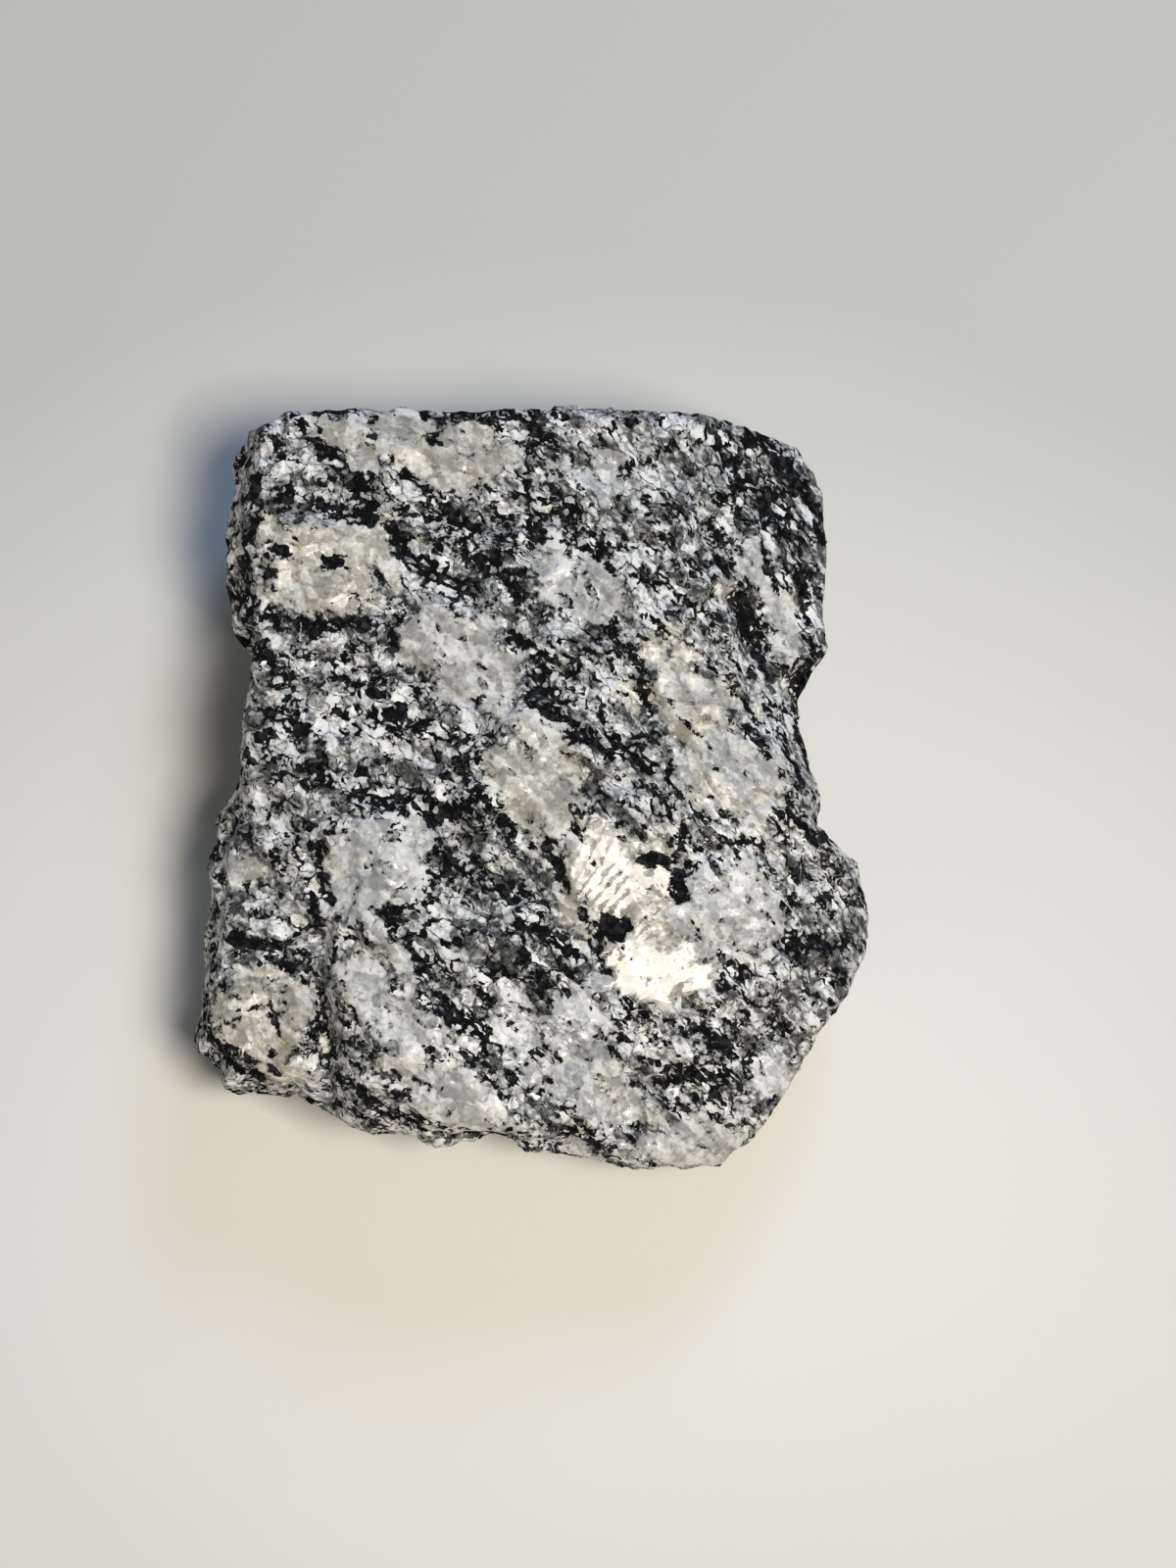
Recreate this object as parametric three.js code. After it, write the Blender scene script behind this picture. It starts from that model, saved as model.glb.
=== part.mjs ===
// Granodiorite hand specimen: one broken chip of coarse, banded rock, resting on its flat underside.
// Millimetres, +Z up. The origin is on the resting face, below the middle of the stone.
// The chip is a box grid wrapped on to its outline, its broken faces and its crystals, as one closed solid.
import * as THREE from "three";
import { mergeVertices } from "three/addons/utils/BufferGeometryUtils.js";

// Driving dimensions
const GRID = 34; // squares along each edge of the upper and lower faces
const WALL_ROWS = 9; // rows of squares down the broken sides
const WAIST_SHARE = 0.5; // height of the widest line of a side, as a share of that side's height
const FOOT_HEIGHT = 1.6; // height at which the sides turn in under the stone
const BEVEL_DEPTH = 2.6; // how far down a side that leans out has done so
const BEVEL_POWER = 0.7; // below 1, the bevel is round
const ROW_POWER = 1.6; // above 1, the rows of a side lie closest near its upper edge
const RIM_ROLL = 0.7; // how far the upper face rolls down at its rim
const ROLL_START = 0.95; // share of the way out at which it starts to
const ROLL_LEAN = 1.5; // above a side that leans out this far there is no roll, only the bevel
const TUCK = 2.2; // how far the foot of a side stands in from its waist
const TUCK_POWER = 1.5; // above 1, the side turns in late, near its foot
const REST_SHARE = 0.88; // share of the underside, out from its middle, that is the flat resting face
const CORNER_POWER = 5; // odd: how late the outward direction turns from one side to the next
const BLEND_SOFTNESS = 0.8; // how gently one broken face turns into the next
const BLEND_POWER = 3;

// The upper edge of each side: x, y, and how far the side leans out below it, or in where that is negative.
const BACK_EDGE = [
  [-16.3, 20.7, 1.3], [-14.5, 22.1, 0.6], [-12.4, 22.4, -0.2], [-9.6, 22.3, -0.6], [-7.0, 22.3, -0.6],
  [-4.2, 22.4, -0.5], [-1.4, 22.2, -0.5], [0.4, 22.1, -0.8], [4.7, 22.3, -1.0], [7.8, 22.2, -1.0],
  [10.8, 22.0, -0.8], [13.4, 21.8, -0.7], [15.8, 21.1, -0.6],
];
const RIGHT_EDGE = [
  [11.3, -21.7, -0.8], [13.3, -19.9, -1.0], [14.9, -17.9, -1.0], [16.4, -15.1, -1.2], [18.7, -12.1, -1.0],
  [19.8, -9.3, -0.8], [19.8, -6.6, -0.8], [19.1, -4.4, -0.8], [16.7, -2.3, -0.4], [16.1, 1.8, 0.0],
  [16.0, 6.0, -0.3], [17.7, 8.9, -1.3], [17.3, 11.7, -1.0], [17.6, 16.1, -0.8], [17.0, 19.7, -0.7],
  [15.8, 21.1, -0.6],
];
const FRONT_EDGE = [
  [-17.8, -15.7, 0.6], [-17.7, -16.8, 0.8], [-13.8, -16.6, 0.7], [-12.3, -16.6, 1.8], [-10.7, -16.6, 2.7],
  [-8.9, -17.4, 2.8], [-6.7, -18.7, 1.6], [-5.2, -19.5, 0.8], [-1.4, -20.5, -0.2], [2.6, -20.7, 0.2],
  [4.3, -21.5, -0.2], [6.1, -22.1, -0.6], [9.2, -22.3, -0.8], [11.3, -21.7, -0.8],
];
const LEFT_EDGE = [
  [-17.8, -15.7, 0.6], [-18.6, -13.8, 1.0], [-18.1, -9.7, 1.6], [-17.7, -6.4, 1.9], [-17.5, -3.4, 1.2],
  [-17.0, -0.9, 0.6], [-17.3, 1.9, 0.1], [-16.3, 8.3, -0.6], [-15.9, 9.6, 2.0], [-15.9, 13.0, 2.4],
  [-15.9, 18.4, 2.3], [-16.3, 20.7, 1.3],
];

// The broken faces of the upper side: their middle, the height there, and the rise along x and along y.
const BROKEN_FACES = [
  { x: -6.4, y: 19.0, z: 14.8, alongX: 0.02, alongY: 0.02 }, // pale crest at the back
  { x: -14.0, y: 15.8, z: 14.8, alongX: 0.06, alongY: 0.0 },
  { x: -12.2, y: 11.8, z: 14.4, alongX: 0.05, alongY: 0.02 },
  { x: -11.6, y: 3.4, z: 13.9, alongX: 0.06, alongY: 0.03 },
  { x: -4.5, y: 9.0, z: 14.6, alongX: 0.03, alongY: 0.0 },
  { x: 4.4, y: 17.3, z: 15.3, alongX: 0.0, alongY: 0.02 }, // the raised back block
  { x: 3.3, y: 5.6, z: 15.1, alongX: -0.03, alongY: 0.03 },
  { x: 9.0, y: 9.0, z: 14.9, alongX: -0.1, alongY: 0.0 },
  { x: 14.2, y: 16.0, z: 11.9, alongX: -0.55, alongY: -0.12 }, // the dark back slope
  { x: 15.3, y: 10.2, z: 11.4, alongX: -0.4, alongY: 0.0 },
  { x: 15.2, y: 3.6, z: 11.2, alongX: -1.3, alongY: -0.55 }, // the steep right flank
  { x: 12.0, y: 0.6, z: 14.4, alongX: -0.15, alongY: 0.05 },
  { x: -2.4, y: -5.6, z: 14.5, alongX: 0.02, alongY: 0.06 }, // the broad lower face
  { x: 6.2, y: -7.2, z: 14.3, alongX: -0.04, alongY: 0.07 },
  { x: 13.6, y: -7.4, z: 13.0, alongX: -0.28, alongY: 0.08 },
  { x: 17.6, y: -9.0, z: 10.8, alongX: -0.6, alongY: 0.05 },
  { x: 12.0, y: -15.6, z: 11.6, alongX: -0.35, alongY: 0.28 },
  { x: 9.0, y: -20.6, z: 10.0, alongX: -0.1, alongY: 0.4 }, // the front lobe
  { x: 0.4, y: -16.4, z: 13.2, alongX: 0.0, alongY: 0.2 },
  { x: -8.0, y: -13.4, z: 13.4, alongX: 0.08, alongY: 0.16 },
  { x: -15.6, y: -13.8, z: 11.2, alongX: 0.12, alongY: 0.1 }, // the low corner
  { x: -15.6, y: -5.8, z: 12.5, alongX: 0.25, alongY: 0.05 },
];

// Grooves cut in the upper side: the line from start to end, its depth and its half width.
const GROOVES = [
  { from: [-0.6, 22.5], to: [-0.9, 7.5], depth: 0.35, halfWidth: 0.8 }, // between the two back blocks
  { from: [12.0, 11.2], to: [13.4, 8.2], depth: 1.1, halfWidth: 0.45 }, // open slot in the right shoulder
  { from: [-12.4, -9.0], to: [-11.7, -17.0], depth: 1.0, halfWidth: 0.8 }, // beside the low corner
  { from: [4.0, -7.6], to: [5.4, -8.8], depth: 0.8, halfWidth: 0.6 }, // notch in the large crystal
];

// Large feldspar crystals that stand up from the broken faces: middle, half length and width, turn, height.
const CRYSTALS = [
  { x: -6.6, y: 18.4, length: 5.0, width: 2.3, turn: -12, rise: 0.4 },
  { x: -12.4, y: 12.6, length: 3.2, width: 2.6, turn: -15, rise: 0.35 },
  { x: -4.4, y: 7.8, length: 3.2, width: 2.2, turn: -35, rise: 0.35 },
  { x: 0.8, y: 1.2, length: 3.0, width: 2.7, turn: -50, rise: 0.45 },
  { x: 8.6, y: 6.4, length: 3.4, width: 2.2, turn: -55, rise: 0.35 },
  { x: 11.6, y: 1.6, length: 3.2, width: 2.0, turn: -52, rise: 0.4 },
  { x: 6.2, y: -7.4, length: 5.0, width: 3.0, turn: -52, rise: 0.5 },
  { x: 11.8, y: -7.4, length: 3.2, width: 2.5, turn: -60, rise: 0.35 },
  { x: -9.4, y: -4.2, length: 2.9, width: 2.2, turn: -60, rise: 0.35 },
  { x: -8.6, y: -12.0, length: 4.6, width: 2.2, turn: -58, rise: 0.4 },
  { x: 9.2, y: -20.2, length: 3.0, width: 1.9, turn: 5, rise: 0.4 },
  { x: -15.4, y: -14.2, length: 2.9, width: 2.4, turn: -20, rise: 0.4 },
];
const CRYSTAL_TOP = 0.8; // share of a crystal's half size that is its flat top
const CRYSTAL_FOOT = 1.1; // where its short steep sides end
const CRYSTAL_SQUARENESS = 4; // 2 would be an oval, and more is squarer

// Hackly break between the grains: the size of the facets, how far they step and how far they tip.
const HACKLES = [
  { size: 5.2, step: 0.32, tip: 0.13, seed: 11 },
  { size: 2.7, step: 0.2, tip: 0.15, seed: 29 },
];
const HACKLE_SHARPNESS = 16; // how short the bevels between the facets are
const RIM_WEAR = 0.6; // how much of the break is worn away along the rim
const WEAR_REACH = [0.88, 0.97]; // shares of the way out between which that wear sets in
const WEAR_LEVEL = [0.2, 0.9]; // levels of the sides, 1 at the rim and -1 at the foot, likewise
const HACKLE_FADE_HEIGHT = 3; // below this height the break dies out towards the resting face
const NEIGHBOURS = [-1, 0, 1]; // cells on either side of a point's own cell whose facets can reach it

// Large odd numbers that shuffle a cell's three counts and a seed
const COUNT_MIXERS = [374761393, 668265263, 1440662683, 974634777];
const FIRST_MIXER = 1274126177;
const SECOND_MIXER = 2246822519;
const MIX_RANGE = 2 ** 32;

const clamp = THREE.MathUtils.clamp;
const smoothstep = THREE.MathUtils.smoothstep;
const lerp = THREE.MathUtils.lerp;

// Point and lean at a share from -1 to 1 of the way along one edge.
function alongEdge(edge, share) {
  const lengths = edge.slice(1).map((p, i) => Math.hypot(p[0] - edge[i][0], p[1] - edge[i][1]));
  const total = lengths.reduce((sum, length) => sum + length, 0);
  let rest = clamp((share + 1) / 2, 0, 1) * total;
  let i = 0;
  while (i < lengths.length - 1 && rest > lengths[i]) {
    rest -= lengths[i];
    i += 1;
  }
  const t = clamp(rest / lengths[i], 0, 1);
  return edge[i].map((value, k) => lerp(value, edge[i + 1][k], t));
}

// Where the grid point (a, b) meets the outline, which way is out there, and how far out the point is.
function onOutline(a, b) {
  const reach = Math.max(Math.abs(a), Math.abs(b));
  if (reach === 0) return { edge: [0, 0, 0], out: new THREE.Vector2(), reach };
  const out = new THREE.Vector2((a / reach) ** CORNER_POWER, (b / reach) ** CORNER_POWER).normalize();
  if (Math.abs(a) >= Math.abs(b)) {
    return { edge: alongEdge(a > 0 ? RIGHT_EDGE : LEFT_EDGE, b / reach), out, reach };
  }
  return { edge: alongEdge(b > 0 ? BACK_EDGE : FRONT_EDGE, a / reach), out, reach };
}

// Share of a groove's depth at (x, y): 1 on its line, falling to 0 at its edges.
function grooveShare(groove, x, y) {
  const [x0, y0] = groove.from;
  const dx = groove.to[0] - x0;
  const dy = groove.to[1] - y0;
  const t = clamp(((x - x0) * dx + (y - y0) * dy) / (dx * dx + dy * dy), 0, 1);
  const away = Math.hypot(x - x0 - t * dx, y - y0 - t * dy) / groove.halfWidth;
  return Math.exp(-away * away);
}

// Share of a crystal's rise at (x, y): flat on top, with short steep sides.
function crystalShare(crystal, x, y) {
  const turn = THREE.MathUtils.degToRad(crystal.turn);
  const dx = x - crystal.x;
  const dy = y - crystal.y;
  const u = (dx * Math.cos(turn) + dy * Math.sin(turn)) / crystal.length;
  const v = (dy * Math.cos(turn) - dx * Math.sin(turn)) / crystal.width;
  const power = CRYSTAL_SQUARENESS;
  const radius = (Math.abs(u) ** power + Math.abs(v) ** power) ** (1 / power);
  return 1 - smoothstep(radius, CRYSTAL_TOP, CRYSTAL_FOOT);
}

// Height of the upper side: the broken faces, the nearest weighing most, less the grooves, plus the crystals.
function upperHeight(x, y) {
  let sum = 0;
  let weights = 0;
  for (const face of BROKEN_FACES) {
    const dx = x - face.x;
    const dy = y - face.y;
    const weight = (dx * dx + dy * dy + BLEND_SOFTNESS) ** -BLEND_POWER;
    sum += weight * (face.z + face.alongX * dx + face.alongY * dy);
    weights += weight;
  }
  let height = sum / weights;
  for (const groove of GROOVES) height -= groove.depth * grooveShare(groove, x, y);
  for (const crystal of CRYSTALS) height += crystal.rise * crystalShare(crystal, x, y);
  return height;
}

// A fixed number from 0 to 1 for a cell of space, from its three counts and a seed.
function cellNumber(...counts) {
  let h = counts.reduce((mixed, count, n) => mixed ^ Math.imul(count, COUNT_MIXERS[n]), 0);
  h = Math.imul(h ^ (h >>> 13), FIRST_MIXER);
  h = Math.imul(h ^ (h >>> 16), SECOND_MIXER);
  return ((h ^ (h >>> 15)) >>> 0) / MIX_RANGE;
}

// One facet of the hackly break at point p: its height there, and its weight, which falls with distance.
// The facet belongs to the cell (i, j, k), steps up or down, and tips about its scattered centre.
function facetAt(p, i, j, k, { size, step, tip, seed }) {
  const number = (offset) => cellNumber(i, j, k, seed + offset);
  const centre = new THREE.Vector3(i + number(0), j + number(1), k + number(2)).multiplyScalar(size);
  const away = new THREE.Vector3().subVectors(p, centre);
  const lean = new THREE.Vector3(number(3), number(4), number(5)).subScalar(0.5).multiplyScalar(2 * tip);
  const height = 2 * step * (number(6) - 0.5) + lean.dot(away);
  return { height, weight: Math.exp((-HACKLE_SHARPNESS * away.lengthSq()) / (size * size)) };
}

// Height of the hackly break at point p: the facets of the cells around it, the nearest weighing most,
// so that each facet is flat and meets the next in a short bevel.
function hackle(p, facets) {
  const own = p.clone().divideScalar(facets.size).floor();
  let sum = 0;
  let weights = 0;
  for (const di of NEIGHBOURS) {
    for (const dj of NEIGHBOURS) {
      for (const dk of NEIGHBOURS) {
        const { height, weight } = facetAt(p, own.x + di, own.y + dj, own.z + dk, facets);
        sum += weight * height;
        weights += weight;
      }
    }
  }
  return sum / weights;
}

// How far a side stands out from its upper edge at a height: out over a round bevel, or straight in to
// its waist where it is undercut, and then in to its foot.
function sideLean(lean, rimHeight, height) {
  const waistHeight = WAIST_SHARE * rimHeight;
  if (height > waistHeight) {
    const bevel = clamp((rimHeight - height) / BEVEL_DEPTH, 0, 1) ** BEVEL_POWER;
    const undercut = (rimHeight - height) / (rimHeight - waistHeight);
    return lean * (lean > 0 ? bevel : undercut);
  }
  return lean - TUCK * ((waistHeight - height) / (waistHeight - FOOT_HEIGHT)) ** TUCK_POWER;
}

// Place of the box grid point (a, b, c), each from -1 to 1, on the stone before its hackly break.
function stonePoint({ x: a, y: b, z: c }) {
  const { edge, out, reach } = onOutline(a, b);
  const [edgeX, edgeY, lean] = edge;
  const rimRoll = RIM_ROLL * (1 - smoothstep(lean, 0, ROLL_LEAN));
  if (c === 1) {
    const faceX = edgeX * reach;
    const faceY = edgeY * reach;
    const roll = rimRoll * clamp((reach - ROLL_START) / (1 - ROLL_START), 0, 1) ** 2;
    return new THREE.Vector3(faceX, faceY, upperHeight(faceX, faceY) - roll);
  }
  const rimHeight = upperHeight(edgeX, edgeY) - rimRoll;
  const height = lerp(rimHeight, FOOT_HEIGHT, ((1 - c) / 2) ** ROW_POWER);
  const away = sideLean(lean, rimHeight, height);
  const x = edgeX + away * out.x;
  const y = edgeY + away * out.y;
  if (c > -1) return new THREE.Vector3(x, y, height);
  return new THREE.Vector3(x * reach, y * reach, FOOT_HEIGHT * smoothstep(reach, REST_SHARE, 1));
}

// How near the box grid point (a, b, c) is to the rim: 1 along it, 0 a little way in or down from it.
function rimCloseness({ x: a, y: b, z: c }) {
  const reach = Math.max(Math.abs(a), Math.abs(b));
  return smoothstep(reach, ...WEAR_REACH) * smoothstep(c, ...WEAR_LEVEL);
}

// The box grid with its corners welded, wrapped on to the stone and then broken along its normals.
function stoneGeometry() {
  const box = new THREE.BoxGeometry(2, 2, 2, GRID, GRID, WALL_ROWS);
  box.deleteAttribute("normal");
  box.deleteAttribute("uv");
  const geometry = mergeVertices(box);
  const position = geometry.getAttribute("position");
  const p = new THREE.Vector3();
  const n = new THREE.Vector3();
  const wear = [];
  for (let i = 0; i < position.count; i += 1) {
    p.fromBufferAttribute(position, i);
    wear.push(1 - RIM_WEAR * rimCloseness(p));
    position.setXYZ(i, ...stonePoint(p));
  }
  geometry.computeVertexNormals();
  const normal = geometry.getAttribute("normal");
  for (let i = 0; i < position.count; i += 1) {
    p.fromBufferAttribute(position, i);
    n.fromBufferAttribute(normal, i);
    const relief = HACKLES.reduce((sum, facets) => sum + hackle(p, facets), 0);
    p.addScaledVector(n, relief * wear[i] * clamp(p.z / HACKLE_FADE_HEIGHT, 0, 1));
    position.setXYZ(i, p.x, p.y, Math.max(p.z, 0));
  }
  geometry.computeVertexNormals();
  return geometry;
}

const stone = new THREE.Mesh(
  stoneGeometry(),
  new THREE.MeshStandardMaterial({ color: 0x9c9a94, roughness: 0.7, metalness: 0, flatShading: true }),
);
stone.name = "granodiorite_chip";

const specimen = new THREE.Group();
specimen.add(stone);

export default specimen;
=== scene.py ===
import math

import bpy
import numpy as np
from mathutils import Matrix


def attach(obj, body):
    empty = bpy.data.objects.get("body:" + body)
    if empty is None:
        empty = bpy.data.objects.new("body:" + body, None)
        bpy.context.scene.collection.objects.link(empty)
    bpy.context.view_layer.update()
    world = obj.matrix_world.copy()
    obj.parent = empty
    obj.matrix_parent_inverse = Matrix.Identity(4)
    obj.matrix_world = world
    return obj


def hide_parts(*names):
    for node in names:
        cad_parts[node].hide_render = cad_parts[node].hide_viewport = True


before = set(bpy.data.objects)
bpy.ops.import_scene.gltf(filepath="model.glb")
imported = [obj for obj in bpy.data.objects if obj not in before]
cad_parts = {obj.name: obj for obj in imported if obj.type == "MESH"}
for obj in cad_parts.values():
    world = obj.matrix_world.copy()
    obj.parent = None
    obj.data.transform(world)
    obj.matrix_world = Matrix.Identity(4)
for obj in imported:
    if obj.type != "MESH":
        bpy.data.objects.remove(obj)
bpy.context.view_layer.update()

# A hand specimen of granodiorite: one broken chip of coarse banded rock, lying on its flat underside.
# Shapes are worked out in millimetres in the frame of the CAD model, and put into the mesh in metres.
MM = 0.001

# Grid of the stone
GRID = 184  # squares along each edge of the upper and lower faces
WALL_ROWS = 40  # rows of squares down the broken sides

# Sides and underside
WAIST_SHARE = 0.5  # height of the widest line of a side, as a share of that side's height
FOOT_HEIGHT = 1.6  # height at which the sides turn in under the stone
BEVEL_DEPTH = 2.6  # how far down a side that leans out has done so
BEVEL_POWER = 0.7  # below 1, the bevel is round
ROW_POWER = 1.6  # above 1, the rows of a side lie closest near its upper edge
RIM_ROLL = 0.7  # how far the upper face rolls down at its rim
ROLL_START = 0.95  # share of the way out at which it starts to
ROLL_LEAN = 1.5  # above a side that leans out this far there is no roll, only the bevel
TUCK = 2.2  # how far the foot of a side stands in from its waist
TUCK_POWER = 1.5  # above 1, the side turns in late, near its foot
REST_SHARE = 0.88  # share of the underside, out from its middle, that is the flat resting face
CORNER_POWER = 5  # odd: how late the outward direction turns from one side to the next
BLEND_SOFTNESS = 0.8  # how gently one broken face turns into the next
BLEND_POWER = 3

# The upper edge of each side: x, y, and how far the side leans out below it, or in where that is negative
BACK_EDGE = [
    (-16.3, 20.7, 1.3), (-14.5, 22.1, 0.6), (-12.4, 22.4, -0.2), (-9.6, 22.3, -0.6), (-7, 22.3, -0.6),
    (-4.2, 22.4, -0.5), (-1.4, 22.2, -0.5), (0.4, 22.1, -0.8), (4.7, 22.3, -1), (7.8, 22.2, -1),
    (10.8, 22, -0.8), (13.4, 21.8, -0.7), (15.8, 21.1, -0.6),
]
RIGHT_EDGE = [
    (11.3, -21.7, -0.8), (13.3, -19.9, -1), (14.9, -17.9, -1), (16.4, -15.1, -1.2), (18.7, -12.1, -1),
    (19.8, -9.3, -0.8), (19.8, -6.6, -0.8), (19.1, -4.4, -0.8), (16.7, -2.3, -0.4), (16.1, 1.8, 0),
    (16, 6, -0.3), (17.7, 8.9, -1.3), (17.3, 11.7, -1), (17.6, 16.1, -0.8), (17, 19.7, -0.7),
    (15.8, 21.1, -0.6),
]
FRONT_EDGE = [
    (-17.8, -15.7, 0.6), (-17.7, -16.8, 0.8), (-13.8, -16.6, 0.7), (-12.3, -16.6, 1.8), (-10.7, -16.6, 2.7),
    (-8.9, -17.4, 2.8), (-6.7, -18.7, 1.6), (-5.2, -19.5, 0.8), (-1.4, -20.5, -0.2), (2.6, -20.7, 0.2),
    (4.3, -21.5, -0.2), (6.1, -22.1, -0.6), (9.2, -22.3, -0.8), (11.3, -21.7, -0.8),
]
LEFT_EDGE = [
    (-17.8, -15.7, 0.6), (-18.6, -13.8, 1), (-18.1, -9.7, 1.6), (-17.7, -6.4, 1.9), (-17.5, -3.4, 1.2),
    (-17, -0.9, 0.6), (-17.3, 1.9, 0.1), (-16.3, 8.3, -0.6), (-15.9, 9.6, 2), (-15.9, 13, 2.4),
    (-15.9, 18.4, 2.3), (-16.3, 20.7, 1.3),
]

# The broken faces of the upper side: x and y of the middle, height there, and rise along x and along y
BROKEN_FACES = [
    (-6.4, 19, 14.8, 0.02, 0.02),  # pale crest at the back
    (-14, 15.8, 14.8, 0.06, 0),
    (-12.2, 11.8, 14.4, 0.05, 0.02),
    (-11.6, 3.4, 13.9, 0.06, 0.03),
    (-4.5, 9, 14.6, 0.03, 0),
    (4.4, 17.3, 15.3, 0, 0.02),  # the raised back block
    (3.3, 5.6, 15.1, -0.03, 0.03),
    (9, 9, 14.9, -0.1, 0),
    (14.2, 16, 11.9, -0.55, -0.12),  # the dark back slope
    (15.3, 10.2, 11.4, -0.4, 0),
    (15.2, 3.6, 11.2, -1.3, -0.55),  # the steep right flank
    (12, 0.6, 14.4, -0.15, 0.05),
    (-2.4, -5.6, 14.5, 0.02, 0.06),  # the broad lower face
    (6.2, -7.2, 14.3, -0.04, 0.07),
    (13.6, -7.4, 13, -0.28, 0.08),
    (17.6, -9, 10.8, -0.6, 0.05),
    (12, -15.6, 11.6, -0.35, 0.28),
    (9, -20.6, 10, -0.1, 0.4),  # the front lobe
    (0.4, -16.4, 13.2, 0, 0.2),
    (-8, -13.4, 13.4, 0.08, 0.16),
    (-15.6, -13.8, 11.2, 0.12, 0.1),  # the low corner
    (-15.6, -5.8, 12.5, 0.25, 0.05),
]

# Grooves cut in the upper side: start x and y, end x and y, depth, half width
GROOVES = [
    (-0.6, 22.5, -0.9, 7.5, 0.35, 0.8),  # between the two back blocks
    (12, 11.2, 13.4, 8.2, 1.1, 0.45),  # open slot in the right shoulder
    (-12.4, -9, -11.7, -17, 1, 0.8),  # beside the low corner
    (4, -7.6, 5.4, -8.8, 0.8, 0.6),  # notch in the large crystal
]

# Large crystals that stand up from the broken faces: x, y, half length, half width, turn in degrees, rise
CRYSTALS = [
    (-6.6, 18.4, 5, 2.3, -12, 0.4), (-12.4, 12.6, 3.2, 2.6, -15, 0.35), (-4.4, 7.8, 3.2, 2.2, -35, 0.35),
    (0.8, 1.2, 3, 2.7, -50, 0.45), (8.6, 6.4, 3.4, 2.2, -55, 0.35), (11.6, 1.6, 3.2, 2, -52, 0.4),
    (6.2, -7.4, 5, 3, -52, 0.5), (11.8, -7.4, 3.2, 2.5, -60, 0.35), (-9.4, -4.2, 2.9, 2.2, -60, 0.35),
    (-8.6, -12, 4.6, 2.2, -58, 0.4), (9.2, -20.2, 3, 1.9, 5, 0.4), (-15.4, -14.2, 2.9, 2.4, -20, 0.4),
]
CRYSTAL_TOP = 0.8  # share of a crystal's half size that is its flat top
CRYSTAL_FOOT = 1.1  # where its short steep sides end

# Hackly break: facet size, how far the facets step, how far they tip, seed
HACKLES = [(5.2, 0.32, 0.13, 11), (2.7, 0.2, 0.15, 29)]
SHARPNESS = 16  # how short the bevels between the facets are
RIM_WEAR = 0.6  # how much of the relief is worn away along the rim
WEAR_REACH = (0.88, 0.97)  # shares of the way out between which that wear sets in
WEAR_LEVEL = (0.2, 0.9)  # levels of the sides, 1 at the rim and -1 at the foot, likewise
HACKLE_FADE = 3  # below this height the break dies out towards the resting face

# Grains: the size of a cell of space that holds one grain, and the pull along the banding of the rock
GRAIN_SIZE = 1.05
GRAIN_STRETCH = 2.0
GRAIN_SEED = 101
GRAIN_STEP = 0.07  # how far one grain stands above or below the next
GRAIN_TIP = 0.15  # how far a grain tips
GRAIN_BEVEL = 0.22  # width of the bend from one grain to the next
BAND_TURN = -44  # degrees: the banding runs from the back left to the front right
BAND_DIP = 24  # degrees: how far the bands lean from upright
CRUMBS = (0.62, 0.05, 0.22, 211)  # crumbs on the grains: size, step, tip, seed
CRYSTAL_CALM = 0.7  # how much of grains and crumbs is missing in the feldspar crystals
MICA_PIT = 0.14  # how deep the mica is worn
PIT_SHARES = (0.3, 0.9)  # shares of mica between which the pits set in
STEP_RISE = 0.6  # height of the cleavage steps, as a share of a full saw tooth
FINE_WEAR = 0.4  # how much of the wear along the rim the grains feel

# Facets that roughen borders: size, step, tip, and a seed, or one seed for each direction
RAGGED_GRAINS = (1.3, 0.35, 0.2)
RAGGED_SEEDS = (401, 409, 419)
SWAY = (2.2, 1.1, 0.0)
SWAY_SEEDS = (521, 523, 541)
DRIFT = (1.6, 0.3, 0.2, 503)
TEETH = (0.8, 0.4, 0.2, 547)

# Upper side and sides
SIDE_DEPTHS = (1.2, 3.2)  # depths below the upper side between which the broken sides take over
PATCH_FADE = (0.6, 1.15)  # radii of a patch between which it fades

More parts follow.
